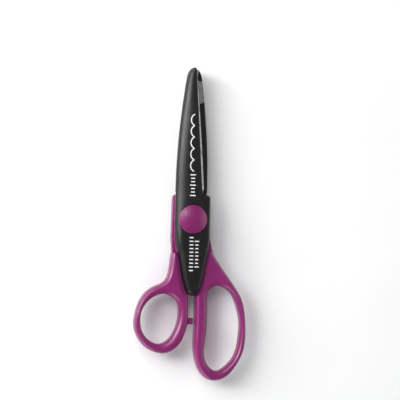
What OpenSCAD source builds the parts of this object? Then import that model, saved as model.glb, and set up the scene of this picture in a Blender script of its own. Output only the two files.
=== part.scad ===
// Decorative edge scissors: two scalloped blades that swing on one sleeve and screw.
// The part lies on its back: +Z out of the front face, +Y towards the tips of the blades,
// +X towards the finger loop. The origin is on the pivot's axis, on the flat of the back cap.

/* [Size] */
// Distance from the pivot's axis to the tip of a cover
tip_y = 80.1; // [79.9:0.1:80.5]
// Distance from the pivot's axis to the lower end of a cover's tail
tail_y = 40.1; // [38:0.1:41]
// Half of the width of a cover beside the pivot
half_w = 8.9; // [8.8:0.1:9.2]
// Angle between the closed position and the position at rest
rest_angle = 1; // [0:0.1:3]

/* [Layers, measured outwards from the shear plane] */
// Thickness of the blade steel
steel_t = 1.2; // [1:0.05:1.4]
// Gap from the shear plane to each blade
blade_gap = 0.03; // [0.02:0.01:0.05]
// Gap from the shear plane to each moulded plate
plate_gap = 0.1; // [0.08:0.01:0.2]
// Height of the moulded plate's outer face
plate_top = 3.4; // [3.2:0.1:3.6]
// Height of the cover's flat top
cover_top = 6.6; // [6.4:0.1:6.8]
// Height of the cap's dome above the cover
dome_h = 1.9; // [1.5:0.1:2.2]
// Half of the thickness of a finger loop
loop_half_t = 4.2; // [4:0.1:4.6]

/* [Scalloped edge] */
// Length of one scallop
pitch = 6; // [5:0.5:7]
// Depth of one scallop
scallop_h = 1.9; // [1.5:0.1:1.9]
// Radius from the pivot's axis where the scallops start
scallop_r0 = 17; // [16.6:0.1:17.4]
// Radius from the pivot's axis where the steel ends
blade_r = 79.2; // [78:0.1:79.3]
// Width of the scalloped strip at its root
strip_root_w = 4.4; // [4:0.1:4.8]
// Width of the scalloped strip at the tip
strip_tip_w = 2.8; // [2.6:0.1:3]
// Overlap of the strip and the blade's flat back
overlap_w = 1.2; // [1:0.1:1.4]

/* [Pivot] */
// Radius of the sleeve that the halves swing on
sleeve_r = 3; // [2.5:0.1:3.2]
// Radial clearance between the sleeve and each bore
bore_gap = 0.05; // [0.03:0.01:0.08]
// Radius of the screw's thread
thread_r = 1.6; // [1.4:0.1:1.8]
// Radius of the screw's head and of the nut's flange
head_r = 4.2; // [3.8:0.1:4.4]
// Radius of a cap
cap_r = 7.5; // [7:0.1:7.8]

/* [Hidden] */
$fn = 48;

purple = [0.5, 0.15, 0.43];
black = [0.13, 0.13, 0.13];
steel = [0.7, 0.7, 0.72];
white = [0.93, 0.93, 0.93];

// Height of the shear plane above the surface that the part lies on
mid_z = cover_top + dome_h;
// Radius that the plate of one half sweeps, and the handle of the other half stays outside
swing_r = 20;
swing_gap = 0.4;
shoulder_y = 12.4;
// Fillet between a cover's lip and its shoulder
notch = [7.2, 15.1];
notch_r = 2.7;
// Half width of a cover on its cutting side, beside the pivot
broad_w = half_w + 0.9;
// The flat back of a blade stays clear of the other blade's scallops
flat_z = 1;
// Height of the strip's outer face, ground a little below the flat back's
strip_top = flat_z + steel_t - 0.1;
// Tang of a blade: a disc in a pocket of the moulded plate
tang_y = -6;
tang_r = 7;
pocket_gap = 0.05;
// Room over a blade: gap above the steel, hollow under the crown, and the ribs in it
room_gap = 0.1;
room_z = flat_z + steel_t + room_gap;
room_tip_y = 79.5;
room_low_y = 14;
cavity_z = 4.7;
rib_t = 1;
rib_y = [24:12:60];
// The cover is open at the spine between these heights
window_low = [61, 65.5];
window_y = 74.2;
// Lower end of the room, where the cover's underside steps up onto the plate
cross_y = 14.45;
well_r = 5.6;
recess_r = cap_r + 0.4;
recess_z = 6;
// Flat on the dome, which a cap lies on
cap_flat = 0.25;
rivet_r = 1.25;
rivet_head_r = rivet_r + 0.9;
rivet_head_t = 0.5;
rivet_y = [10.4, -10.4];
washer_t = 0.5;
washer_r = head_r + 0.4;
// Groove between a handle and its own cover's tail, and clearance from the other half's tail
tail_groove = 0.3;
tail_clearance = 0.4;

// A smooth line through the given points
function mix(a, b, c, d, t) =
    0.5 * (2 * b + (c - a) * t + (2 * a - 5 * b + 4 * c - d) * t * t
        + (3 * b - a - 3 * c + d) * t * t * t);
function open_curve(p, n = 3) = [
    for (i = [0:len(p) - 2])
        for (k = [0:n - 1])
            mix(p[max(i - 1, 0)], p[i], p[i + 1], p[min(i + 2, len(p) - 1)], k / n),
    p[len(p) - 1]
];
function closed_curve(p, n = 3) = [
    for (i = [0:len(p) - 1])
        for (k = [0:n - 1])
            mix(p[(i + len(p) - 1) % len(p)], p[i], p[(i + 1) % len(p)],
                p[(i + 2) % len(p)], k / n)
];
function arc(c, r, a, b, n = 6) = [
    for (i = [0:n])
        c + r * [cos(a + (b - a) * i / n), sin(a + (b - a) * i / n)]
];

// Outlines of one half, seen from its own outer face with the cutting side on +X.
// The spine runs down from the tip to the pivot.
spine = [
    [0.3, tip_y - 0.6], [-0.5, tip_y], [-2, tip_y - 0.9], [-3.4, tip_y - 3.4],
    [-4.7, tip_y - 10],
    [-6.2, 58], [-7.6, 44], [-8.5, 30], [-half_w, 15], [-half_w, 4]
];
lip_top = [0.4, 78.6];
lip_root = [4.4, 17];
edge_top = [1.6, 78.5];
edge_root = [6.5, 17];
tail = [
    [broad_w, -6], [broad_w - 0.2, -12.3], [7.8, -22], [6.5, -29.5], [5, -36],
    [3, 0.9 - tail_y], [0.8, -tail_y], [-1.4, 0.9 - tail_y], [-3.1, -37], [-5.1, -29.6],
    [-7.1, -18.5], [-half_w, -10.5], [-half_w, -4]
];

// Outer edges of the two handles and of their holes, seen from the front, blades closed
thumb_outer = [
    [-0.6, -12], [-0.4, -30], [-0.2, -42.2], [0.2, -53.2], [-0.7, -57.7], [-3.2, -64.2],
    [-8, -69.2], [-14.3, -70.4], [-22, -67.3], [-27, -60.7], [-28.4, -53.5],
    [-25.7, -42.9], [-20.8, -36.8], [-14.8, -34.1], [-11.9, -31.6], [-10.6, -26.5],
    [-10, -19.5], [-8.9, -12]
];
thumb_hole = [
    [-14.1, -39.2], [-20.2, -42.2], [-24.3, -47.5], [-25.1, -54.6], [-22.7, -61.3],
    [-15.8, -65.7], [-10, -63.4], [-6.2, -57], [-4.7, -49.3], [-5.9, -43.2], [-9.4, -40.3]
];
finger_outer = [
    [9.8, -10], [11.5, -16.9], [17.1, -25.3], [23.3, -33.7], [28.4, -42.1], [30.3, -52.6],
    [30.3, -65.2], [27.3, -73.7], [21, -81.9], [13.7, -84.5], [7.9, -82.1], [4.2, -75.9],
    [2.6, -66.8], [2.95, -54], [2.9, -41.3], [2.4, -30], [2, -10]
];
finger_hole = [
    [15.6, -34.4], [9.9, -37.5], [9.4, -44], [9.4, -57], [8.2, -72.3], [14.4, -79.6],
    [20.9, -76.2], [25.7, -69.3], [27.6, -55], [25.8, -45.9], [22.5, -38.5]
];

// Height of the scalloped shear surface at radius r: a row of equal arcs about the pivot's axis
arc_r = (pitch * pitch / 4 + scallop_h * scallop_h) / (2 * scallop_h);
// Share of a scallop that is cut away at scallop_r0
wave_start = 0.4;
function wave(r) =
    let (s = ((r - scallop_r0) / pitch + wave_start) % 1 * pitch - pitch / 2)
    sqrt(arc_r * arc_r - s * s) - arc_r + scallop_h / 2;
wave_n = ceil((blade_r - scallop_r0) / pitch * 8);
// Its section in one half's own frame: the back half's is upside down, so that the two mate
function wave_line(side) = [
    for (i = [0:wave_n])
        let (r = scallop_r0 + (blade_r - scallop_r0) * i / wave_n)
        [r, side * wave(r)]
];

// Puts a piece, made outwards from the shear plane, into the front half or the back half
module on_front() {
    translate([0, 0, mid_z])
        rotate(rest_angle)
            children();
}

module on_back() {
    translate([0, 0, mid_z])
        rotate([0, 180, 0])
            children();
}

module bore(r, low, high) {
    translate([0, 0, low])
        cylinder(r = r, h = high - low);
}

// Steel ----------------------------------------------------------------------------------

// The ring that the strip is cut from: scalloped below and flat above
module wave_band(side) {
    rotate(62)
        rotate_extrude(angle = 42)
            polygon(concat(
                [for (p = wave_line(side)) p + [0, blade_gap]],
                [[blade_r, strip_top], [scallop_r0, strip_top]]
            ));
}

module blade_body(side) {
    // Tang, which ends inside the circle where the other blade's scallops start
    translate([0, 0, blade_gap])
        linear_extrude(steel_t - blade_gap)
            polygon(concat(
                arc([0, tang_y], tang_r, 180, 360, 12),
                arc([0, 0], scallop_r0 - 0.1, 68, 108, 6),
                [[-tang_r, 12]]
            ));
    // Flat back of the blade, with the lug that shows in the cover's window
    translate([0, 0, flat_z])
        linear_extrude(steel_t)
            polygon([
                edge_root + [overlap_w - strip_root_w, -2.4],
                edge_top + [overlap_w - strip_tip_w, -1.2], [-1.3, 77.3], [-1.3, 74],
                [-3.7, 73.4], [-5.2, 62.6], [-2.6, 61.4], [-4.3, 44], [-5.6, 26],
                [-5.8, 14.6]
            ]);
    // Strip along the cutting edge
    intersection() {
        wave_band(side);
        linear_extrude(20, center = true)
            polygon([
                edge_root - [strip_root_w, 1.5], edge_root - [0, 1.5],
                edge_top + [0, 2], edge_top + [-strip_tip_w, 2]
            ]);
    }
}

module blade(side) {
    color(steel)
        difference() {
            blade_body(side);
            bore(sleeve_r + bore_gap, -2, 4);
            for (y = rivet_y)
                translate([0, y])
                    bore(rivet_r, -2, 4);
        }
}

module rivets() {
    color(steel)
        for (y = rivet_y)
            translate([0, y]) {
                bore(rivet_r, blade_gap + 0.03, plate_top + rivet_head_t);
                bore(rivet_head_r, plate_top, plate_top + rivet_head_t);
            }
}

// Handles --------------------------------------------------------------------------------

// Flat plate of a handle at the pivot. Its lower end is an arc that ends on the handle's arm.
module plate(end_angle) {
    translate([0, 0, plate_gap])
        linear_extrude(plate_top - plate_gap)
            polygon(concat(
                arc([0, 0], swing_r + 1, 285, end_angle, 4),
                [[broad_w, -9]],
                arc([broad_w - 1.5, shoulder_y - 1], 1.5, 0, 90),
                arc(notch, notch_r - 0.4, 270, 198, 5),
                [[-6, 14.4]],
                arc([1.5 - half_w, shoulder_y - 0.8], 1.5, 90, 180),
                [tail[11]],
                arc([0, 0], swing_r - swing_gap, 247, 274, 4)
            ));
}

// A loop and its arm, with rounded edges
module rounded_loop(outer, hole, round_xy = 1.4, round_z = 2.6) {
    minkowski() {
        linear_extrude(2 * (loop_half_t - round_z), center = true)
            difference() {
                offset(delta = -round_xy)
                    polygon(closed_curve(outer));
                offset(delta = round_xy)
                    polygon(closed_curve(hole));
            }
        rotate_extrude($fn = 16)
            polygon([
                for (a = [-90:22.5:90])
                    [round_xy * cos(a), round_z * sin(a)]
            ]);
    }
}

module tail_block(gap, low, high) {
    translate([0, 0, low])
        linear_extrude(high - low)
            offset(delta = gap)
                polygon(open_curve(tail));
}

// The handle of one half, seen from the front: side is 1 for the front half, -1 for the back
module handle(side, outer, hole, end_angle) {
    pocket_r = tang_r + pocket_gap;
    own = [0, side > 0 ? 0 : 180, 0];
    other = [0, side > 0 ? 180 : 0, 0];
    color(purple)
        difference() {
            union() {
                difference() {
                    union() {
                        rounded_loop(outer, hole);
                        children();
                    }
                    // Room for the other half's plate as it swings
                    cylinder(r = swing_r, h = 20, center = true);
                    rotate(own)
                        tail_block(tail_groove, plate_top, 10);
                    rotate(other)
                        tail_block(tail_clearance, plate_top - 0.2, 10);
                }
                rotate(own)
                    plate(end_angle);
            }
            rotate(own) {
                // Pocket for the tang
                translate([0, 0, -1])
                    linear_extrude(1 + steel_t + 0.02)
                        polygon(concat(
                            arc([0, tang_y], pocket_r, 180, 360, 12),
                            [[pocket_r, 20], [-pocket_r, 20]]
                        ));
                bore(sleeve_r + bore_gap, -1, 5);
                for (y = rivet_y)
                    translate([0, y])
                        bore(rivet_r + 0.02, -1, 5);
            }
        }
}

// Covers ---------------------------------------------------------------------------------

// Each level of a cover's crown: height, and how far the outline is drawn in there
crown_levels = [
    [0, 0.3], [0.2, 0], [0.42, 0.15], [0.66, 0.9], [0.86, 2.1], [1, 3.8]
];

// The spine's outline drawn in by d towards the cutting side
function drawn_spine(d) = [
    for (p = open_curve(spine))
        let (tip_share = max(0, (p[1] - 66) / (tip_y - 66)))
        [min(p[0] + d * (1 - 0.3 * tip_share), 0.3), p[1] - 1.3 * d * tip_share]
];

module level(z, points) {
    translate([0, 0, z])
        linear_extrude(0.01)
            polygon(points);
}

module cover_body() {
    rise = cover_top - flat_z - 0.01;
    // Over the blade
    hull()
        for (l = crown_levels)
            level(flat_z + l[0] * rise, concat(
                drawn_spine(l[1]),
                [[lip_root[0], 4], lip_root, lip_top - [l[1] * 0.06, l[1] * 0.8]]
            ));
    // Over the pivot and the tail
    hull()
        for (l = crown_levels)
            if (l[0] > 0.4)
                let (d = l[1], low = l[0] < 0.5 ? plate_top - 0.01 : flat_z + l[0] * rise)
                level(low, concat(
                    [
                        for (p = open_curve(tail))
                            [p[0] > 2 ? p[0] - 0.4 * d : p[0] + d * 0.8,
                             p[1] + (p[1] < -34 ? 0.8 * d : 0)]
                    ],
                    [[d - half_w, 15]],
                    [[5.4, shoulder_y]],
                    arc([broad_w - 1.2 - 0.4 * d, shoulder_y - 1.2], 1.2, 90, 0, 4)
                ));
    // Fillet in the corner between the lip and the shoulder
    translate([0, 0, plate_top])
        linear_extrude(cover_top - 0.3 - plate_top)
            polygon(concat(
                [[3, 12], [3, lip_root[1]], lip_root],
                arc(notch, notch_r, 180, 270, 5),
                [[8, 12]]
            ));
}

// Room for the blade under a cover: below the lip it opens towards the cutting side
module blade_room() {
    inner = [[-6.1, room_low_y], [-5.8, 26], [-4.6, 44], [-2.9, 61.5], [-1.45, window_y]];
    linear_extrude(room_z)
        polygon(concat(inner, [[-1.45, room_tip_y], [12, room_tip_y], [12, room_low_y]]));
    // Window in the spine, with a slanted lower end
    linear_extrude(room_z)
        polygon([
            [-1, window_y], [-1, window_low[0]], [-3, window_low[0] + 0.2],
            [-12, window_low[1]], [-12, window_y]
        ]);
    // Hollow above the blade, with ribs that hold the blade down
    difference() {
        linear_extrude(cavity_z)
            polygon(concat(
                [for (p = inner) p + [0.5, 0]],
                [lip_top + [-1.2, -3.5], lip_root + [-1.2, 2], lip_root + [-1.2, -1]]
            ));
        for (y = rib_y)
            translate([-10, y, room_z])
                cube([20, rib_t, 5]);
    }
}

module cover() {
    color(black)
        difference() {
            cover_body();
            blade_room();
            // Flat underside over the moulded plate and the handles
            translate([-20, -60, 0])
                cube([40, 60 + cross_y, plate_top]);
            bore(well_r, 0, 10);
            bore(recess_r, recess_z, 10);
            for (y = rivet_y)
                translate([0, y])
                    bore(rivet_head_r + 0.2, 0, plate_top + rivet_head_t + 0.1);
        }
}

module cap() {
    dome_r = (cap_r * cap_r + dome_h * dome_h) / (2 * dome_h);
    color(purple) {
        intersection() {
            translate([0, 0, cover_top + dome_h + cap_flat - dome_r])
                sphere(r = dome_r, $fn = 96);
            bore(cap_r, recess_z, cover_top + dome_h);
        }
        difference() {
            bore(well_r - 0.05, plate_top + 1.6, recess_z);
            bore(washer_r, plate_top + 1, recess_z + 1);
        }
    }
}

// Pivot ----------------------------------------------------------------------------------

head_z = plate_top + washer_t + 0.1;
head_t = 1.3;

module nut() {
    color(steel)
        difference() {
            union() {
                bore(sleeve_r, -plate_top - 0.1, plate_top - 0.05);
                bore(head_r, -plate_top - 0.05 - head_t, -plate_top - 0.05);
            }
            bore(thread_r, -plate_top + 1, plate_top);
        }
}

module screw() {
    color(steel)
        difference() {
            union() {
                bore(thread_r, -plate_top + 1.5, head_z);
                bore(head_r, head_z, head_z + head_t);
            }
            // Slot for a screwdriver
            translate([-head_r, -0.5, head_z + head_t - 0.6])
                cube([2 * head_r, 1, 1]);
        }
}

module washer() {
    color(steel)
        difference() {
            bore(washer_r, plate_top + 0.05, plate_top + 0.05 + washer_t);
            bore(thread_r + 0.1, plate_top - 1, plate_top + 2);
        }
}

// Printing on the front cover --------------------------------------------------------------

ink_t = 0.1;
ink_w = 0.55;
wave_count = 5;
wave_mid_y = 40;

module printed() {
    color(white)
        on_front()
            translate([0, 0, cover_top])
                children();
}

module dash(x, y, length, width) {
    translate([x, y])
        linear_extrude(ink_t)
            square([length, width], center = true);
}

// Scallops that show the cut
module wave_print() {
    half_angle = asin(pitch / 2 / arc_r);
    for (i = [0:wave_count - 1])
        translate([arc_r - scallop_h - 0.1, wave_mid_y + (i - (wave_count - 1) / 2) * pitch])
            rotate_extrude(angle = 2 * half_angle, start = 180 - half_angle)
                translate([arc_r - ink_w / 2, 0])
                    square([ink_w, ink_t]);
}

// One module for each node -------------------------------------------------------------------

module back_blade() { on_back() blade(-1); }
module front_blade() { on_front() blade(1); }
module back_cover() { on_back() cover(); }
module front_cover() { on_front() cover(); }
module back_cap() { on_back() cap(); }
module front_cap() { on_front() cap(); }
module back_rivets() { on_back() rivets(); }
module front_rivets() { on_front() rivets(); }

module thumb_handle() {
    translate([0, 0, mid_z])
        handle(-1, thumb_outer, thumb_hole, 296)
            // Closing stop
            translate([-1, -54.9, -2.2])
                cube([3.85, 3.4, 4.4]);
}

module finger_handle() {
    on_front()
        handle(1, finger_outer, finger_hole, 304);
}

module pivot_nut() {
    translate([0, 0, mid_z])
        nut();
}

module pivot_screw() {
    translate([0, 0, mid_z])
        screw();
}

module spring_washer() {
    translate([0, 0, mid_z])
        washer();
}

module wave_legend() {
    printed()
        wave_print();
}

module pattern_marks() {
    printed()
        for (i = [0:6])
            dash(-0.5, 12.4 + 1.8 * i, i % 3 == 0 ? 3 : 2, ink_w);
}

module tail_marks() {
    printed() {
        for (i = [0:9])
            dash(-0.7, -9.6 - 1.9 * i, 2, ink_w);
        for (i = [0:7])
            dash(2.2, -11.5 - 1.9 * i, i % 7 == 0 ? 2.2 : 1.6, ink_w);
    }
}

back_blade();
thumb_handle();
back_cover();
back_cap();
pivot_nut();
pivot_screw();
spring_washer();
back_rivets();
front_blade();
finger_handle();
front_cover();
front_cap();
front_rivets();
wave_legend();
pattern_marks();
tail_marks();
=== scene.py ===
"""Looks of the decorative edge scissors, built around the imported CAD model.

Lengths are in millimetres until a piece is finished, which scales it to metres.
A half's own frame has its height measured outwards from the shear plane, with the
cutting side on +X and the tips towards +Y, as in the CAD.
"""
import math

import bmesh
import bpy
from mathutils import Matrix, Vector


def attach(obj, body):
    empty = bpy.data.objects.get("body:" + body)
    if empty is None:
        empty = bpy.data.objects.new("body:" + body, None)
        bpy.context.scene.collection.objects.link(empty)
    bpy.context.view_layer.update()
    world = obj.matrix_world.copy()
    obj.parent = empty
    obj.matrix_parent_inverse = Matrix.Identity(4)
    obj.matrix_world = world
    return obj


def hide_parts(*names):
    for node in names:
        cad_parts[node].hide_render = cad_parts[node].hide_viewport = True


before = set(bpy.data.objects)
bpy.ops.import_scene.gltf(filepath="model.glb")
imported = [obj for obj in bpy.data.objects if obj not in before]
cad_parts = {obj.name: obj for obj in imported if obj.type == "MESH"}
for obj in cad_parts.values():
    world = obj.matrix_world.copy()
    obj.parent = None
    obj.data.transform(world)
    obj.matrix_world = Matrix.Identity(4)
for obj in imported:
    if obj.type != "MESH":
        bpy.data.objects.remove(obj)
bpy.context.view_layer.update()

MM = 0.001

# Layers, heights from the shear plane. The plane itself is MID_Z above the floor.
MID_Z = 8.5
REST_ANGLE = math.radians(1)
PLATE_LOW, PLATE_TOP = 0.1, 3.4
COVER_LOW, COVER_TOP = 1.0, 6.6
CAP_TOP = 8.5
STEEL_GAP, STEEL_T = 0.03, 1.2
STRIP_TOP = 2.1
BLADE_ROOM_Z = 2.3
LOOP_HALF_T = 4.2

# Outlines, as in the CAD, except that the finger loop's right side is 0.1 further in, so that
# its smoothed curve stays inside the CAD's box
TIP_Y = 80.1
HALF_W = 8.9
BROAD_W = 9.8
SHOULDER_Y = 12.4
CORNER_R = 1.5
NOTCH, NOTCH_R = (7.2, 15.1), 2.7
SPINE = [(0.3, 79.5), (-0.5, 80.1), (-2, 79.2), (-3.4, 76.7), (-4.7, 70.1), (-6.2, 58),
         (-7.6, 44), (-8.5, 30), (-8.9, 15), (-8.9, 4)]
TAIL_LEFT = [(-8.9, 4), (-8.9, -10.5), (-7.1, -18.5), (-5.1, -29.6), (-3.1, -37),
             (-1.4, -39.2), (0.8, -40.1)]
TAIL_RIGHT = [(0.8, -40.1), (3, -39.2), (5, -36), (6.5, -29.5), (7.8, -22),
              (9.6, -12.3), (9.8, -6)]
LIP_ROOT, LIP_TOP = (4.4, 17), (0.4, 78.6)
EDGE_ROOT, EDGE_TOP = (6.5, 17), (1.6, 78.5)
THUMB_OUTER = [(-1.6, -12.6), (-0.4, -30), (-0.2, -42.2), (0.2, -53.2), (-0.7, -57.7),
               (-3.2, -64.2), (-8, -69.2), (-14.3, -70.4), (-22, -67.3), (-27, -60.7),
               (-28.4, -53.5), (-25.7, -42.9), (-20.8, -36.8), (-14.8, -34.1),
               (-11.9, -31.6), (-10.6, -26.5), (-10, -19.5), (-8.4, -12.8), (-5, -11)]
THUMB_HOLE = [(-14.1, -39.2), (-20.2, -42.2), (-24.3, -47.5), (-25.1, -54.6), (-22.7, -61.3),
              (-15.8, -65.7), (-10, -63.4), (-6.2, -57), (-4.7, -49.3), (-5.9, -43.2),
              (-9.4, -40.3)]
FINGER_OUTER = [(9.4, -12.6), (11.5, -16.9), (17.1, -25.3), (23.3, -33.7), (28.4, -42.1),
                (30.2, -52.6), (30.2, -65.2), (27.3, -73.7), (21, -81.9), (13.7, -84.5),
                (7.9, -82.1), (4.2, -75.9), (2.6, -66.8), (2.95, -54), (2.9, -41.3),
                (2.4, -30), (2.6, -13), (5.8, -11)]
FINGER_HOLE = [(15.6, -34.4), (9.9, -37.5), (9.4, -44), (9.4, -57), (8.2, -72.3),
               (14.4, -79.6), (20.9, -76.2), (25.7, -69.3), (27.6, -55), (25.8, -45.9),
               (22.5, -38.5)]

# Scallops: arcs of radius ARC_R, which meet in kinks one pitch apart
PITCH, SCALLOP_H, SCALLOP_R0, BLADE_R = 6.0, 1.9, 17.0, 79.2
FIRST_KINK = 0.6
ARC_R = (PITCH * PITCH / 4 + SCALLOP_H * SCALLOP_H) / (2 * SCALLOP_H)

TO_FRONT = Matrix.Translation((0, 0, MID_Z)) @ Matrix.Rotation(REST_ANGLE, 4, "Z")
TO_BACK = Matrix.Translation((0, 0, MID_Z)) @ Matrix.Rotation(math.pi, 4, "Y")
TO_THUMB = Matrix.Translation((0, 0, MID_Z))
FLIP = Matrix.Rotation(math.pi, 4, "Y")


# Outlines ---------------------------------------------------------------------------

def mix(a, b, c, d, t):
    """A point on the smooth line from b to c, t of the way along."""
    return tuple(
        0.5 * (2 * b[k] + (c[k] - a[k]) * t + (2 * a[k] - 5 * b[k] + 4 * c[k] - d[k]) * t * t
               + (3 * b[k] - a[k] - 3 * c[k] + d[k]) * t ** 3)
        for k in range(len(b)))


def open_curve(p, n):
    last = len(p) - 1
    points = [mix(p[max(i - 1, 0)], p[i], p[i + 1], p[min(i + 2, last)], k / n)
              for i in range(last) for k in range(n)]
    return points + [p[last]]


def closed_curve(p, n):
    m = len(p)
    return [mix(p[i - 1], p[i], p[(i + 1) % m], p[(i + 2) % m], k / n)
            for i in range(m) for k in range(n)]


def arc(centre, r, start, end, n):
    angles = [math.radians(start + (end - start) * i / n) for i in range(n + 1)]
    return [(centre[0] + r * math.cos(a), centre[1] + r * math.sin(a)) for a in angles]


def anticlockwise(p):
    area = sum(p[i - 1][0] * p[i][1] - p[i][0] * p[i - 1][1] for i in range(len(p)))
    return list(p) if area > 0 else list(reversed(p))


def inward(p):
    """Unit normals of a closed anticlockwise outline, towards its inside."""
    found = []
    for i in range(len(p)):
        along = Vector(p[(i + 1) % len(p)]) - Vector(p[i - 1])
        found.append(Vector((-along.y, along.x)).normalized())
    return found


def drawn_in(p, normals, draws):
    """The outline with each point moved along its normal by its own draw."""
    return [(q[0] + n.x * d, q[1] + n.y * d) for q, n, d in zip(p, normals, draws)]


def at_height(p, z):
    return [(q[0], q[1], z) for q in p]


def smoothed(p, step=0.6, reach=2.0):
    """A closed outline with corners at even steps, its kinks smoothed out over reach."""
    p = [Vector(q) for q in p]
    lengths = [(p[i] - p[i - 1]).length for i in range(len(p))]
    total = sum(lengths)
    count = int(total / step)
    even, i, walked = [], 0, 0.0
    for k in range(count):
        at = total * k / count
        while walked + lengths[i] < at:
            walked += lengths[i]
            i += 1
        even.append(p[i - 1].lerp(p[i], (at - walked) / max(lengths[i], 1e-9)))
    span = int(3 * reach / step)
    weights = [math.exp(-0.5 * (k * step / reach) ** 2) for k in range(-span, span + 1)]
    whole = sum(weights)
    return [tuple(sum(((even[(i + k - span) % count] * w) for k, w in enumerate(weights)),
                      Vector((0, 0))) / whole) for i in range(count)]


def between(x, table):
    """Linear interpolation in a table of (x, y) with rising x."""
    if x <= table[0][0]:
        return table[0][1]
    for (x0, y0), (x1, y1) in zip(table, table[1:]):
        if x <= x1:
            return y0 + (y1 - y0) * (x - x0) / (x1 - x0)
    return table[-1][1]


# Meshes -----------------------------------------------------------------------------

# Points closer than this are one
SAME = 1e-4
# A height outside every piece, where the cutters end
BEYOND = 15.0
# Edges folded by more than this stay sharp
SMOOTH_ANGLE = math.radians(34)


def add_rings(bm, rings, ends=True):
    """Joins rings of equal length with quads, and closes both ends. Returns their corners."""
    rows = [[bm.verts.new(p) for p in ring] for ring in rings]
    for low, high in zip(rows, rows[1:]):
        for i in range(len(low)):
            bm.faces.new((low[i - 1], low[i], high[i], high[i - 1]))
    if ends:
        bm.faces.new(list(reversed(rows[0])))
        bm.faces.new(rows[-1])
    return rows


def add_slab(bm, outline, low, high):
    outline = anticlockwise(outline)
    add_rings(bm, [at_height(outline, low), at_height(outline, high)])


def loop_edges(row):
    return [next(e for e in row[i - 1].link_edges if e.other_vert(row[i - 1]) is row[i])
            for i in range(len(row))]


def temporary(bm):
    """An object that holds bm's mesh, with its faces pointing outwards."""
    bmesh.ops.recalc_face_normals(bm, faces=bm.faces)
    mesh = bpy.data.meshes.new("work")
    bm.to_mesh(mesh)
    bm.free()
    obj = bpy.data.objects.new("work", mesh)
    bpy.context.scene.collection.objects.link(obj)
    return obj


def settle(obj):
    """Applies the object's modifiers to its mesh."""
    bpy.context.view_layer.update()
    graph = bpy.context.evaluated_depsgraph_get()
    mesh = bpy.data.meshes.new_from_object(obj.evaluated_get(graph))
    obj.modifiers.clear()
    obj.data = mesh
    return obj


def cut(obj, *cutters):
    """Takes each cutter's shape out of obj."""
    for cutter in cutters:
        mod = obj.modifiers.new("cut", "BOOLEAN")
        mod.operation = "DIFFERENCE"
        mod.solver = "EXACT"
        mod.object = cutter
        settle(obj)
        bpy.data.objects.remove(cutter)
    return obj


def soften(obj, width, angle=40, segments=2):
    """Rounds the edges that are sharper than angle."""
    mod = obj.modifiers.new("soften", "BEVEL")
    mod.width = width
    mod.segments = segments
    mod.limit_method = "ANGLE"
    mod.angle_limit = math.radians(angle)
    mod.use_clamp_overlap = True
    return settle(obj)


def joined(first, *others):
    """One object from several: their shells stay separate closed shells."""
    bm = bmesh.new()
    for obj in (first, *others):
        bm.from_mesh(obj.data)
    mesh = bpy.data.meshes.new("work")
    bm.to_mesh(mesh)
    bm.free()
    first.data = mesh
    for obj in others:
        bpy.data.objects.remove(obj)
    return first


def piece(obj, name, place, body, node, slot, *materials):
    """Finishes a work object as a named piece of the scissors."""
    bm = bmesh.new()
    bm.from_mesh(obj.data)
    bmesh.ops.transform(bm, matrix=Matrix.Scale(MM, 4) @ place, verts=bm.verts)
    bmesh.ops.remove_doubles(bm, verts=bm.verts, dist=MM * SAME)
    for face in bm.faces:
        face.smooth = True
    for edge in bm.edges:
        folded = len(edge.link_faces) == 2 and edge.calc_face_angle(0) > SMOOTH_ANGLE
        edge.smooth = not folded
    mesh = bpy.data.meshes.new(name)
    bm.to_mesh(mesh)
    bm.free()
    obj.data = mesh
    obj.name = name
    weighted = obj.modifiers.new("weighted", "WEIGHTED_NORMAL")
    weighted.keep_sharp = True
    settle(obj)
    obj.data.name = name
    obj.data.materials.clear()
    for material in materials:
        obj.data.materials.append(material)
    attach(obj, body)
    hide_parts(node)
    return obj


# Materials --------------------------------------------------------------------------

class Nodes:
    """A material's node tree, with short calls to add nodes and links."""

    def __init__(self, name):
        self.material = bpy.data.materials.new(name)
        self.material.use_nodes = True
        self.tree = self.material.node_tree
        self.shader = self.tree.nodes["Principled BSDF"]

    def add(self, kind, inputs=(), **settings):
        node = self.tree.nodes.new("ShaderNode" + kind)
        for key, value in settings.items():
            setattr(node, key, value)
        for key, value in dict(inputs).items():
            if isinstance(value, bpy.types.NodeSocket):
                self.tree.links.new(value, node.inputs[key])
            else:
                node.inputs[key].default_value = value
        return node

    def place(self, scale=(1, 1, 1)):
        """The object's own coordinates, in metres, stretched by scale."""
        coords = self.add("TexCoord")
        mapping = self.add("Mapping", {"Vector": coords.outputs["Object"], "Scale": scale})
        return mapping.outputs["Vector"]

    def noise(self, vector, scale, detail=3.0, roughness=0.5):
        node = self.add("TexNoise", {"Vector": vector, "Scale": scale, "Detail": detail,
                                     "Roughness": roughness})
        return node.outputs["Fac"]

    def ramp(self, factor, stops):
        """stops is a list of (place, colour)."""
        node = self.add("ValToRGB", {"Fac": factor})
        elements = node.color_ramp.elements
        while len(elements) < len(stops):
            elements.new(0.5)
        for element, (position, colour) in zip(elements, stops):
            element.position = position
            element.color = (*colour, 1)
        return node.outputs["Color"]

    def span(self, factor, low, high, start=0.0, end=1.0):
        node = self.add("MapRange", {"Value": factor, "From Min": start, "From Max": end,
                                     "To Min": low, "To Max": high})
        return node.outputs["Result"]

    def bump(self, height, strength, distance, under=None):
        inputs = {"Height": height, "Strength": strength, "Distance": distance}
        if under is not None:
            inputs["Normal"] = under
        return self.add("Bump", inputs).outputs["Normal"]

    def set(self, **values):
        for key, value in values.items():
            socket = self.shader.inputs[key.replace("_", " ")]
            if isinstance(value, bpy.types.NodeSocket):
                self.tree.links.new(value, socket)
            else:
                socket.default_value = value
        return self.material


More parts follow.
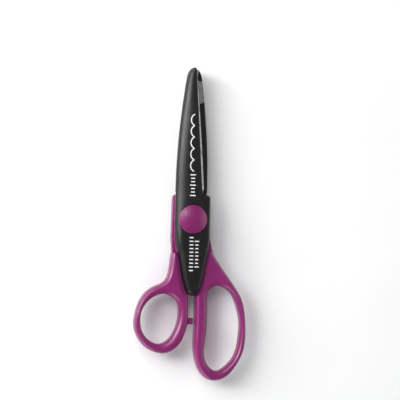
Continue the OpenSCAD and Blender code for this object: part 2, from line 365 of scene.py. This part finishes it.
def purple_plastic():
    """Satin moulded plastic: faint flow marks, fine texture, a little wear in the gloss."""
    m = Nodes("purple_plastic")
    place = m.place()
    flow = m.noise(m.place((1, 0.45, 1)), 90, 4)
    fine = m.noise(place, 1700, 3)
    waves = m.noise(place, 160, 2)
    colour = m.ramp(flow, [(0.3, (0.176, 0.0055, 0.096)), (0.52, (0.200, 0.0068, 0.110)),
                           (0.75, (0.228, 0.009, 0.127))])
    rough = m.span(m.noise(place, 420, 5, 0.65), 0.30, 0.44, 0.35, 0.7)
    normal = m.bump(fine, 0.3, 0.00006, m.bump(waves, 0.10, 0.0004))
    return m.set(Base_Color=colour, Roughness=rough, Normal=normal, IOR=1.49,
                 Coat_Weight=0.5, Coat_Roughness=0.28)


def black_plastic():
    """Black plastic with the fine spark-eroded grain of a mould."""
    m = Nodes("black_plastic")
    place = m.place()
    grain = m.noise(place, 1400, 4, 0.7)
    patches = m.noise(place, 130, 4)
    colour = m.ramp(patches, [(0.3, (0.0028, 0.0028, 0.003)), (0.7, (0.005, 0.005, 0.0052))])
    rough = m.span(m.noise(place, 700, 4), 0.29, 0.40, 0.35, 0.65)
    normal = m.bump(grain, 0.8, 0.00014)
    return m.set(Base_Color=colour, Roughness=rough, Normal=normal, IOR=1.48)


def ground_steel(name, tint, low, high, stretch, grain_scale):
    """Steel with grinding marks along one direction and slight stains."""
    m = Nodes(name)
    marks = m.noise(m.place(stretch), grain_scale, 5, 0.7)
    stains = m.noise(m.place(), 520, 4, 0.6)
    light = tuple(min(1, 1.15 * c) for c in tint)
    dark = tuple(0.62 * c for c in tint)
    colour = m.ramp(stains, [(0.36, dark), (0.5, tint), (0.7, light)])
    rough = m.span(marks, low, high, 0.3, 0.7)
    normal = m.bump(marks, 0.25, 0.00003)
    return m.set(Base_Color=colour, Metallic=1.0, Roughness=rough, Normal=normal)


def white_ink():
    """Pad-printed ink: nearly white, thin in places, with a soft sheen."""
    m = Nodes("white_ink")
    place = m.place()
    cover = m.noise(place, 1400, 4, 0.6)
    colour = m.ramp(cover, [(0.28, (0.62, 0.62, 0.63)), (0.45, (0.83, 0.83, 0.83)),
                            (0.8, (0.9, 0.9, 0.89))])
    rough = m.span(m.noise(place, 900, 3), 0.42, 0.6)
    normal = m.bump(cover, 0.2, 0.00003)
    return m.set(Base_Color=colour, Roughness=rough, Normal=normal)


def pale_floor():
    m = Nodes("pale_floor")
    mottle = m.noise(m.place(), 14, 4)
    colour = m.ramp(mottle, [(0.3, (0.90, 0.90, 0.90)), (0.7, (0.93, 0.93, 0.93))])
    normal = m.bump(m.noise(m.place(), 900, 2), 0.05, 0.0001)
    return m.set(Base_Color=colour, Roughness=0.7, Normal=normal)


# Covers -----------------------------------------------------------------------------

# Crown of a cover: share of its height, and how far the outline is drawn in there
CROWN = [(0, 0.3), (0.1, 0.1), (0.2, 0), (0.32, 0.03), (0.42, 0.15), (0.53, 0.46),
         (0.645, 0.95), (0.735, 1.5), (0.825, 2.3), (0.895, 3.2), (0.94, 4.0), (0.972, 5.0),
         (0.991, 6.1), (1, 7.2)]
# Share of the crown's draw that each side takes along its length, as (y, share)
SPINE_SHARE = [(-40.1, 0.34), (-30, 0.42), (-5, 0.62), (14, 1.15), (28, 1), (56, 0.95),
               (79, 0.28), (TIP_Y, 0.16)]
TAIL_SHARE = [(-40.1, 0.34), (-30, 0.3), (SHOULDER_Y - CORNER_R, 0.24), (SHOULDER_Y, 0.12)]
# At the tip the share also fades towards the lip: over LIP_FADE_W, down to LIP_LEAST
LIP_FADE_X, LIP_FADE_W, LIP_LEAST = 0.9, 2.2, 0.3
# Inner edge of the rim along the spine, as (y, x)
RIM_INSIDE = [(14, -6.1), (26, -5.8), (44, -4.6), (61.5, -2.9), (74.2, -1.45)]
WINDOW = (62.6, 74.2)
WINDOW_INSIDE_Y = 61.2
# Where the underside steps down from the plate to the blade's room, beside the lip
CROSS_X, CROSS_Y = 4.5, 14.45
ROOM_TIP_Y = 79.5
LIP_END = (0.33, 79.2)
# How far a step in the underside leans, so that its wall is a real face
STEP_LEAN = 0.05
# Heights this close are equal, and this far off a step is just beside it
NEAR, HAIR = 1e-3, 1e-6
RECESS_R, RECESS_Z = 7.9, 6.0
# The cap's side goes up to CAP_SIDE_Z, and its dome would meet it at CAP_RIM_Z
CAP_R, CAP_RIM_R, CAP_SIDE_Z, CAP_RIM_Z = 7.5, 0.3, 6.45, 6.85
# How far the cap is sunk into the floor of its recess
CAP_SUNK = 0.05


def lip_line(n):
    """The lip's straight side, in n steps from its root."""
    return [(LIP_ROOT[0] + (LIP_TOP[0] - LIP_ROOT[0]) * i / n,
             LIP_ROOT[1] + (LIP_TOP[1] - LIP_ROOT[1]) * i / n) for i in range(n + 1)]


def spine_bottom(y):
    """How far down a cover reaches along its spine."""
    if y <= CROSS_Y:
        return PLATE_TOP
    return BLADE_ROOM_Z if WINDOW[0] < y < WINDOW[1] else COVER_LOW


def cover_outline():
    """Points of a cover, anticlockwise: (place, share of the crown's draw, bottom height)."""
    found = []

    def add(p, share, bottom):
        repeated = (found and (Vector(found[-1][0]) - Vector(p)).length <= SAME
                    and found[-1][2] == bottom)
        if not repeated:
            found.append((p, share, bottom))

    spine = open_curve(SPINE, 10)
    for p, q in zip(spine, spine[1:]):
        beside_lip = min(1, max(LIP_LEAST, (LIP_FADE_X - p[0]) / LIP_FADE_W))
        add(p, between(p[1], SPINE_SHARE) * beside_lip, spine_bottom(p[1] - HAIR))
        for y in (WINDOW[1], WINDOW[0], CROSS_Y):
            if p[1] > y > q[1]:
                t = (p[1] - y) / (p[1] - q[1])
                on = (p[0] + (q[0] - p[0]) * t, y)
                add(on, between(y, SPINE_SHARE), spine_bottom(y + HAIR))
                add(on, between(y, SPINE_SHARE), spine_bottom(y - HAIR))
    for p in open_curve(TAIL_LEFT, 8)[:-1]:
        add(p, between(p[1], SPINE_SHARE), PLATE_TOP)
    shoulder = arc((BROAD_W - CORNER_R, SHOULDER_Y - CORNER_R), CORNER_R, 0, 90, 8)
    for p in open_curve(TAIL_RIGHT, 8) + shoulder:
        add(p, between(p[1], TAIL_SHARE), PLATE_TOP)
    for p in arc(NOTCH, NOTCH_R, 270, 195, 8) + [(CROSS_X, CROSS_Y)]:
        add(p, 0, PLATE_TOP)
    for p in [(CROSS_X, CROSS_Y + STEP_LEAN)] + lip_line(24) + [LIP_END]:
        add(p, 0, BLADE_ROOM_Z)
    add((LIP_END[0], LIP_END[1] + STEP_LEAN), 0, COVER_LOW)
    return found


def outline_normals(points):
    """Unit normals towards the inside, where a point may come twice in a row."""
    def together(i, j):
        return (Vector(points[i]) - Vector(points[j])).length < SAME

    normals = []
    for i in range(len(points)):
        before, after = i - 1, (i + 1) % len(points)
        while together(before, i):
            before -= 1
        while together(after, i):
            after = (after + 1) % len(points)
        along = Vector(points[after]) - Vector(points[before])
        normals.append(Vector((-along.y, along.x)).normalized())
    return normals


def rim_inside(p):
    """The inner edge of the rim round the blade, beside the outline's point p."""
    if p[1] < CROSS_Y - NEAR:
        return p
    limit = between(p[1], RIM_INSIDE)
    if p[0] > limit and p[1] < ROOM_TIP_Y:
        return p
    # The rim's end beside the window is slanted
    y = WINDOW_INSIDE_Y if WINDOW_INSIDE_Y < p[1] <= WINDOW[0] else min(p[1], ROOM_TIP_Y)
    return (max(p[0], limit), y)


def add_underside(bm, low):
    """From the lowest ring: the rim, its inner wall, and the ceiling in two levels."""
    rim = [bm.verts.new((*rim_inside(v.co.xy), v.co.z)) for v in low]
    wall = [bm.verts.new((v.co.x, v.co.y, max(v.co.z, BLADE_ROOM_Z))) for v in rim]
    for a, b in ((low, rim), (rim, wall)):
        for i in range(len(a)):
            bm.faces.new((a[i - 1], a[i], b[i], b[i - 1]))
    over_plate = [v for v in wall if v.co.z > PLATE_TOP - NEAR]
    first = wall.index(over_plate[0])
    over_blade = wall[first + len(over_plate):] + wall[:first]
    bm.faces.new(over_plate)
    bm.faces.new(over_blade)
    bm.faces.new((over_plate[0], over_plate[-1], over_blade[0], over_blade[-1]))


def cover():
    """A crowned shell, open towards the blade, with a round recess for the cap."""
    points, shares, bottoms = zip(*cover_outline())
    normals = outline_normals(points)
    rings = []
    for share_z, draw in open_curve(CROWN, 2):
        z = COVER_LOW + share_z * (COVER_TOP - COVER_LOW)
        ring = drawn_in(points, normals, [max(0, draw) * share for share in shares])
        rings.append([(*p, max(z, bottom)) for p, bottom in zip(ring, bottoms)])
    bm = bmesh.new()
    rows = add_rings(bm, rings, ends=False)
    bm.faces.new(rows[-1])
    add_underside(bm, rows[0])
    bmesh.ops.remove_doubles(bm, verts=bm.verts, dist=SAME)
    bmesh.ops.dissolve_degenerate(bm, edges=bm.edges, dist=SAME)
    recess = bmesh.new()
    add_slab(recess, arc((0, 0), RECESS_R, 0, 360, 96)[:-1], RECESS_Z, BEYOND)
    return cut(temporary(bm), temporary(recess))


def cap():
    """A domed cap with a rounded rim, turned about the pivot."""
    sag = CAP_TOP - CAP_RIM_Z
    dome_r = (CAP_R * CAP_R + sag * sag) / (2 * sag)

    def dome_z(r):
        return CAP_TOP - dome_r + math.sqrt(dome_r ** 2 - r * r)

    top_r = CAP_R - CAP_RIM_R
    rim_z = dome_z(top_r) - CAP_RIM_R
    profile = [(CAP_R, RECESS_Z - CAP_SUNK), (CAP_R, CAP_SIDE_Z)]
    for degrees in (0, 22, 45, 68):
        a = math.radians(degrees)
        profile.append((top_r + CAP_RIM_R * math.cos(a), rim_z + CAP_RIM_R * math.sin(a)))
    steps, turn = 14, 112
    profile += [(top_r * (1 - i / steps), dome_z(top_r * (1 - i / steps)))
                for i in range(steps)]
    bm = bmesh.new()
    rings = [at_height(arc((0, 0), r, 0, 360, turn)[:-1], z) for r, z in profile]
    rows = add_rings(bm, rings, ends=False)
    bm.faces.new(list(reversed(rows[0])))
    top = bm.verts.new((0, 0, CAP_TOP))
    for k in range(turn):
        bm.faces.new((rows[-1][k - 1], rows[-1][k], top))
    return temporary(bm)


# Handles ----------------------------------------------------------------------------

# Radius of the circle round the pivot in which the plates turn
SWING_R = 20.0
# Height that the rounding of a loop's edges takes, above and below
ROUND_Z = 2.7
# Rounding of a loop's edges: share of the wall, and the most
OUTER_ROUNDING, HOLE_ROUNDING = (0.44, 2.0), (0.5, 3.2)
# Parting line round a loop: how far it stands out, and half its height
PARTING_OUT, PARTING_Z = 0.05, 0.09
# Clearance round the tails of a handle's own cover and of the other one: gap and depth
OWN_TAIL, OTHER_TAIL = (0.35, 0.05), (0.45, 0.25)
GROOVE_W, GROOVE_T = 0.9, 0.55
# The plate's tab under the arm, and the hollow that clears the other arm, in degrees
TAB_OVER, TAB_START = 1.0, 285
HOLLOW_PLAY, HOLLOW_START, HOLLOW_END = 0.4, 247, 274
FINGER_TAB_END, THUMB_TAB_END = 304, 296
# The plate's corners, where they aren't the cover's
PLATE_RIGHT_Y, PLATE_LEFT_Y = -9, -10.5
PLATE_BESIDE_LIP = (-6, 14.4)
# How far the plate's shoulders are above its cover's
RIGHT_RISE, LEFT_RISE = 0.5, 0.7
# The block on the thumb loop: its sides, its ends and half its thickness
STOP_X, STOP_Y, STOP_HALF_T = (-1, 2.85), (-54.9, -51.5), 2.2


def tail_outline(gap):
    """The outline of a cover's tail, gap wider all round."""
    left = open_curve(TAIL_LEFT, 6)
    right = open_curve(TAIL_RIGHT, 6)
    points = anticlockwise(left[:-1] + right)
    return drawn_in(points, inward(points), [-gap] * len(points))


def wall_rounding(points, others, share, most):
    """How far the edge is rounded at each point: a share of the wall there, up to a limit."""
    found = []
    for p in points:
        wall = min((Vector(p) - Vector(q)).length for q in others[::2])
        found.append(min(most, share * wall))
    reach = 5
    return [sum(found[(i + k) % len(found)] for k in range(-reach, reach + 1))
            / (2 * reach + 1) for i in range(len(found))]


def rounded_loop(outer, hole):
    """A handle's loop and arm, with rounded edges and a fine parting line at mid-height."""
    outer = smoothed(anticlockwise(closed_curve(outer, 8)))
    hole = smoothed(anticlockwise(closed_curve(hole, 8)))
    outlines = ((outer, inward(outer), wall_rounding(outer, hole, *OUTER_ROUNDING)),
                (hole, [-n for n in inward(hole)], wall_rounding(hole, outer, *HOLE_ROUNDING)))
    flat = LOOP_HALF_T - ROUND_Z
    quarter = [math.radians(90 * k / 10) for k in range(11)]
    # Share of the rounding, extra draw for the parting line, height
    half = ([(0.0, -PARTING_OUT, 0.0), (0.0, 0.0, PARTING_Z)]
            + [(1 - math.cos(a), 0.0, flat + ROUND_Z * math.sin(a)) for a in quarter])
    levels = [(share, extra, -z) for share, extra, z in reversed(half[1:])] + half
    bm = bmesh.new()
    rows = []
    for points, normals, rounding in outlines:
        rings = [at_height(drawn_in(points, normals, [share * r + extra for r in rounding]), z)
                 for share, extra, z in levels]
        rows.append(add_rings(bm, rings, ends=False))
    for end in (0, -1):
        edges = loop_edges(rows[0][end]) + loop_edges(rows[1][end])
        bmesh.ops.triangle_fill(bm, use_beauty=True, use_dissolve=False, edges=edges)
    return temporary(bm)


def plate_outline(tab_end):
    """The plate round the pivot, with a tab under the arm that ends at the angle tab_end."""
    tab = arc((0, 0), SWING_R + TAB_OVER, TAB_START, tab_end, 6)
    right = arc((BROAD_W - CORNER_R, SHOULDER_Y - CORNER_R + RIGHT_RISE), CORNER_R, 0, 90, 8)
    notch = arc(NOTCH, NOTCH_R - 0.4, 270, 198, 6)
    left = arc((CORNER_R - HALF_W, SHOULDER_Y - CORNER_R + LEFT_RISE), CORNER_R, 90, 180, 8)
    hollow = arc((0, 0), SWING_R - HOLLOW_PLAY, HOLLOW_START, HOLLOW_END, 8)
    return (tab + [(BROAD_W, PLATE_RIGHT_Y)] + right + notch + [PLATE_BESIDE_LIP] + left
            + [(-HALF_W, PLATE_LEFT_Y)] + hollow)


def handle(side, outer, hole, tab_end, extras=()):
    """The handle of one half, seen from the front: side is 1 for the front, -1 for the back."""
    obj = rounded_loop(outer, hole)
    swing = bmesh.new()
    add_slab(swing, arc((0, 0), SWING_R, 0, 360, 128)[:-1], -BEYOND, BEYOND)
    cut(obj, temporary(swing))
    # A stepped groove round the tail of each cover
    for turned, (gap, depth) in ((side < 0, OWN_TAIL), (side > 0, OTHER_TAIL)):
        for wider, low in ((0, PLATE_TOP - depth), (GROOVE_W, LOOP_HALF_T - GROOVE_T)):
            groove = bmesh.new()
            add_slab(groove, tail_outline(gap + wider), low, BEYOND)
            if turned:
                bmesh.ops.transform(groove, matrix=FLIP, verts=groove.verts)
            cut(obj, temporary(groove))
    soften(obj, 0.28, 48, 3)
    plate = bmesh.new()
    add_slab(plate, plate_outline(tab_end), PLATE_LOW, PLATE_TOP)
    if side < 0:
        bmesh.ops.transform(plate, matrix=FLIP, verts=plate.verts)
    plate = soften(temporary(plate), 0.7, segments=4)
    return joined(obj, plate, *extras)


def closing_stop():
    """The block on the thumb loop that meets the finger loop when the scissors close."""
    (left, right), (low, high) = STOP_X, STOP_Y
    bm = bmesh.new()
    add_slab(bm, [(left, low), (right, low), (right, high), (left, high)],
             -STOP_HALF_T, STOP_HALF_T)
    return soften(temporary(bm), 0.35, segments=3)


# Blades -----------------------------------------------------------------------------

# Width of the strip along the edge at its ends, and how far the edge bows out between
STRIP_ROOT_W, STRIP_TIP_W, STRIP_BOW = 4.4, 2.8, 0.35
# Ground bevel along the strip's outer edge: its width, and its height at the edge
GROUND_W, GROUND_Z = 1.3, 1.45
FLAT_LOW, FLAT_TOP = 1.0, 2.2
FLAT = [(3.3, 14.6), (0, 77.3), (-1.3, 77.3), (-1.3, 74), (-3.7, 73.4), (-5.2, 62.6),
        (-2.6, 61.4), (-4.3, 44), (-5.6, 26), (-5.8, 14.6)]
TANG_END, TANG_R = (0, -6), 7
TANG_SIDE = (-7, 12)


def wave(r):
    """Height of the scalloped surface at the radius r."""
    s = ((r - SCALLOP_R0) / PITCH + 1 - FIRST_KINK) % 1 * PITCH - PITCH / 2
    return math.sqrt(ARC_R * ARC_R - s * s) - ARC_R + SCALLOP_H / 2


def on_circle(a, b, r):
    """Where the line through a and b crosses the circle of radius r, beyond the pivot."""
    a, step = Vector(a), Vector(b) - Vector(a)
    p, q = a.dot(step) / step.length_squared, (a.length_squared - r * r) / step.length_squared
    return a + step * (-p + math.sqrt(p * p - q))


def strip_radii():
    """Radii of the strip's sections: a few up to the first kink, then even ones."""
    first_kink = SCALLOP_R0 + FIRST_KINK * PITCH
    lead = 12
    step = PITCH / 22
    count = math.ceil((BLADE_R - first_kink) / step)
    return ([SCALLOP_R0 + (first_kink - SCALLOP_R0) * k / lead for k in range(lead)]
            + [first_kink + k * step for k in range(count)] + [BLADE_R])


def scalloped_strip(bm, side):
    """The strip along the cutting edge: scalloped below, flat above, bevelled at the edge."""
    inner_root = (EDGE_ROOT[0] - STRIP_ROOT_W, EDGE_ROOT[1])
    inner_tip = (EDGE_TOP[0] - STRIP_TIP_W, EDGE_TOP[1])
    rings = []
    for r in strip_radii():
        inside, edge = on_circle(inner_root, inner_tip, r), on_circle(EDGE_ROOT, EDGE_TOP, r)
        share = (r - SCALLOP_R0) / (BLADE_R - SCALLOP_R0)
        edge = edge + Vector((STRIP_BOW * 4 * share * (1 - share), 0))
        ground = 1 - GROUND_W / (edge - inside).length
        z = side * wave(r) + STEEL_GAP
        section = [(0, z), (0.5, z), (1, z), (1, GROUND_Z), (ground, STRIP_TOP),
                   (0.4, STRIP_TOP), (0, STRIP_TOP)]
        rings.append([(*(inside + (edge - inside) * v), h) for v, h in section])
    add_rings(bm, rings)
    # The strip takes the second steel, a lighter copy of the blade's own: painted light on the
    # edge strip that the lip shades
    for face in bm.faces:
        face.material_index = 1


def blade(side):
    """The strip, the flat of the blade over it, and the tang round the pivot."""
    strip, flat, tang = bmesh.new(), bmesh.new(), bmesh.new()
    scalloped_strip(strip, side)
    add_slab(flat, FLAT, FLAT_LOW, FLAT_TOP)
    add_slab(tang, arc(TANG_END, TANG_R, 180, 360, 16)
             + arc((0, 0), SCALLOP_R0 - 0.1, 68, 108, 8) + [TANG_SIDE], STEEL_GAP, STEEL_T)
    return joined(temporary(strip), soften(temporary(flat), 0.1), soften(temporary(tang), 0.08))


# The scissors -----------------------------------------------------------------------

purple = purple_plastic()
black = black_plastic()
# The blade's steel has a low tint so that its flat and tang come out dark: painted shade for
# the flat that lies deep and shaded beside the edge
blade_steel = ground_steel("blade_steel", (0.40, 0.40, 0.385), 0.34, 0.5, (1, 0.06, 1), 5200)
# The steel on the next line is the blade's own steel made twice as light: painted light on the
# edge strip, which the lip's wall shades
edge_steel_painted_light = ground_steel("edge_steel_painted_light", (0.80, 0.80, 0.78), 0.4, 0.55, (1, 0.06, 1), 5200)
screw_steel = ground_steel("screw_steel", (0.46, 0.46, 0.48), 0.3, 0.45, (1, 1, 0.2), 3200)
ink = white_ink()

HALVES = (("front", TO_FRONT, "front_half", 1), ("back", TO_BACK, "back_half", -1))
for half, place, body, side in HALVES:
    piece(cover(), half + "_cover_shell", place, body, half + "_cover", "black_plastic", black)
    piece(cap(), half + "_cap_dome", place, body, half + "_cap", "purple_plastic", purple)
    piece(blade(side), half + "_blade_scalloped", place, body, half + "_blade", "blade_steel",
          blade_steel, edge_steel_painted_light)
piece(handle(1, FINGER_OUTER, FINGER_HOLE, FINGER_TAB_END), "finger_handle_moulded", TO_FRONT,
      "front_half", "finger_handle", "purple_plastic", purple)
piece(handle(-1, THUMB_OUTER, THUMB_HOLE, THUMB_TAB_END, [closing_stop()]),
      "thumb_handle_moulded", TO_THUMB, "back_half", "thumb_handle", "purple_plastic", purple)

for material, nodes in (
        (screw_steel, ("pivot_nut", "pivot_screw", "spring_washer", "back_rivets",
                       "front_rivets")),
        (ink, ("wave_legend", "pattern_marks", "tail_marks"))):
    for node in nodes:
        mesh_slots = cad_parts[node].data.materials
        mesh_slots.clear()
        mesh_slots.append(material)


# Stage, light and camera --------------------------------------------------------------

# Name, place, width and height in metres, power in watts
LIGHTS = [("key", (-0.82, 0.28, 0.55), (0.4, 0.8), 10.5),
          ("top", (-0.48, 0.74, 0.62), (0.7, 0.5), 3.5),
          ("sheen", (-0.29, 0.38, 0.88), (0.3, 0.3), 1.4),
          ("fill", (1.2, 0.1, 0.55), (1.2, 1.2), 4.5),
          ("low", (-0.50, -0.85, 0.42), (0.7, 0.4), 4)]


def add_floor():
    bm = bmesh.new()
    bmesh.ops.create_grid(bm, x_segments=8, y_segments=8, size=1.5)
    mesh = bpy.data.meshes.new("floor")
    bm.to_mesh(mesh)
    bm.free()
    mesh.materials.append(pale_floor())
    floor = bpy.data.objects.new("floor", mesh)
    bpy.context.scene.collection.objects.link(floor)


def area_light(name, place, size, power):
    """A rectangular light that faces the origin."""
    data = bpy.data.lights.new(name, "AREA")
    data.shape = "RECTANGLE"
    data.size, data.size_y = size
    data.energy = power
    light = bpy.data.objects.new(name, data)
    light.location = place
    light.rotation_mode = "QUATERNION"
    light.rotation_quaternion = (-Vector(place)).to_track_quat("-Z", "Y")
    bpy.context.scene.collection.objects.link(light)


def add_world():
    world = bpy.data.worlds.new("soft_room")
    world.use_nodes = True
    background = world.node_tree.nodes["Background"]
    background.inputs["Color"].default_value = (0.95, 0.97, 1, 1)
    background.inputs["Strength"].default_value = 0.24
    bpy.context.scene.world = world


def add_camera():
    """Looks at the front from a little to the left and below, with the part turned by roll."""
    side, below, roll = math.radians(13), math.radians(2.5), math.radians(2.1)
    # Distance in metres, focal length and sensor width in millimetres
    distance = 0.6
    focal, sensor = 102.5, 36.0
    field = distance * sensor / focal
    to_camera = Vector((-math.sin(side) * math.cos(below), -math.sin(below),
                        math.cos(side) * math.cos(below)))
    up = (Vector((0, 1, 0)) - to_camera * to_camera.y).normalized()
    right = up.cross(to_camera)
    # Where the pivot falls in the picture, as shares of its width from the middle
    pivot_right, pivot_up = -0.0237, -0.0489
    target = -(right * pivot_right + up * pivot_up) * field
    turn = Matrix.Rotation(roll, 3, "Z")
    middle = Vector((0, 0, MID_Z * MM))
    rotation = Matrix((turn @ right, turn @ up, turn @ to_camera)).transposed()
    data = bpy.data.cameras.new("camera")
    data.lens = focal
    data.sensor_width = sensor
    data.clip_start, data.clip_end = 0.01, 20
    camera = bpy.data.objects.new("camera", data)
    camera.matrix_world = Matrix.Translation(
        middle + turn @ (target + to_camera * distance)) @ rotation.to_4x4()
    bpy.context.scene.collection.objects.link(camera)
    bpy.context.scene.camera = camera


add_floor()
add_world()
for light in LIGHTS:
    area_light(*light)
add_camera()
bpy.context.scene.view_settings.view_transform = "Standard"
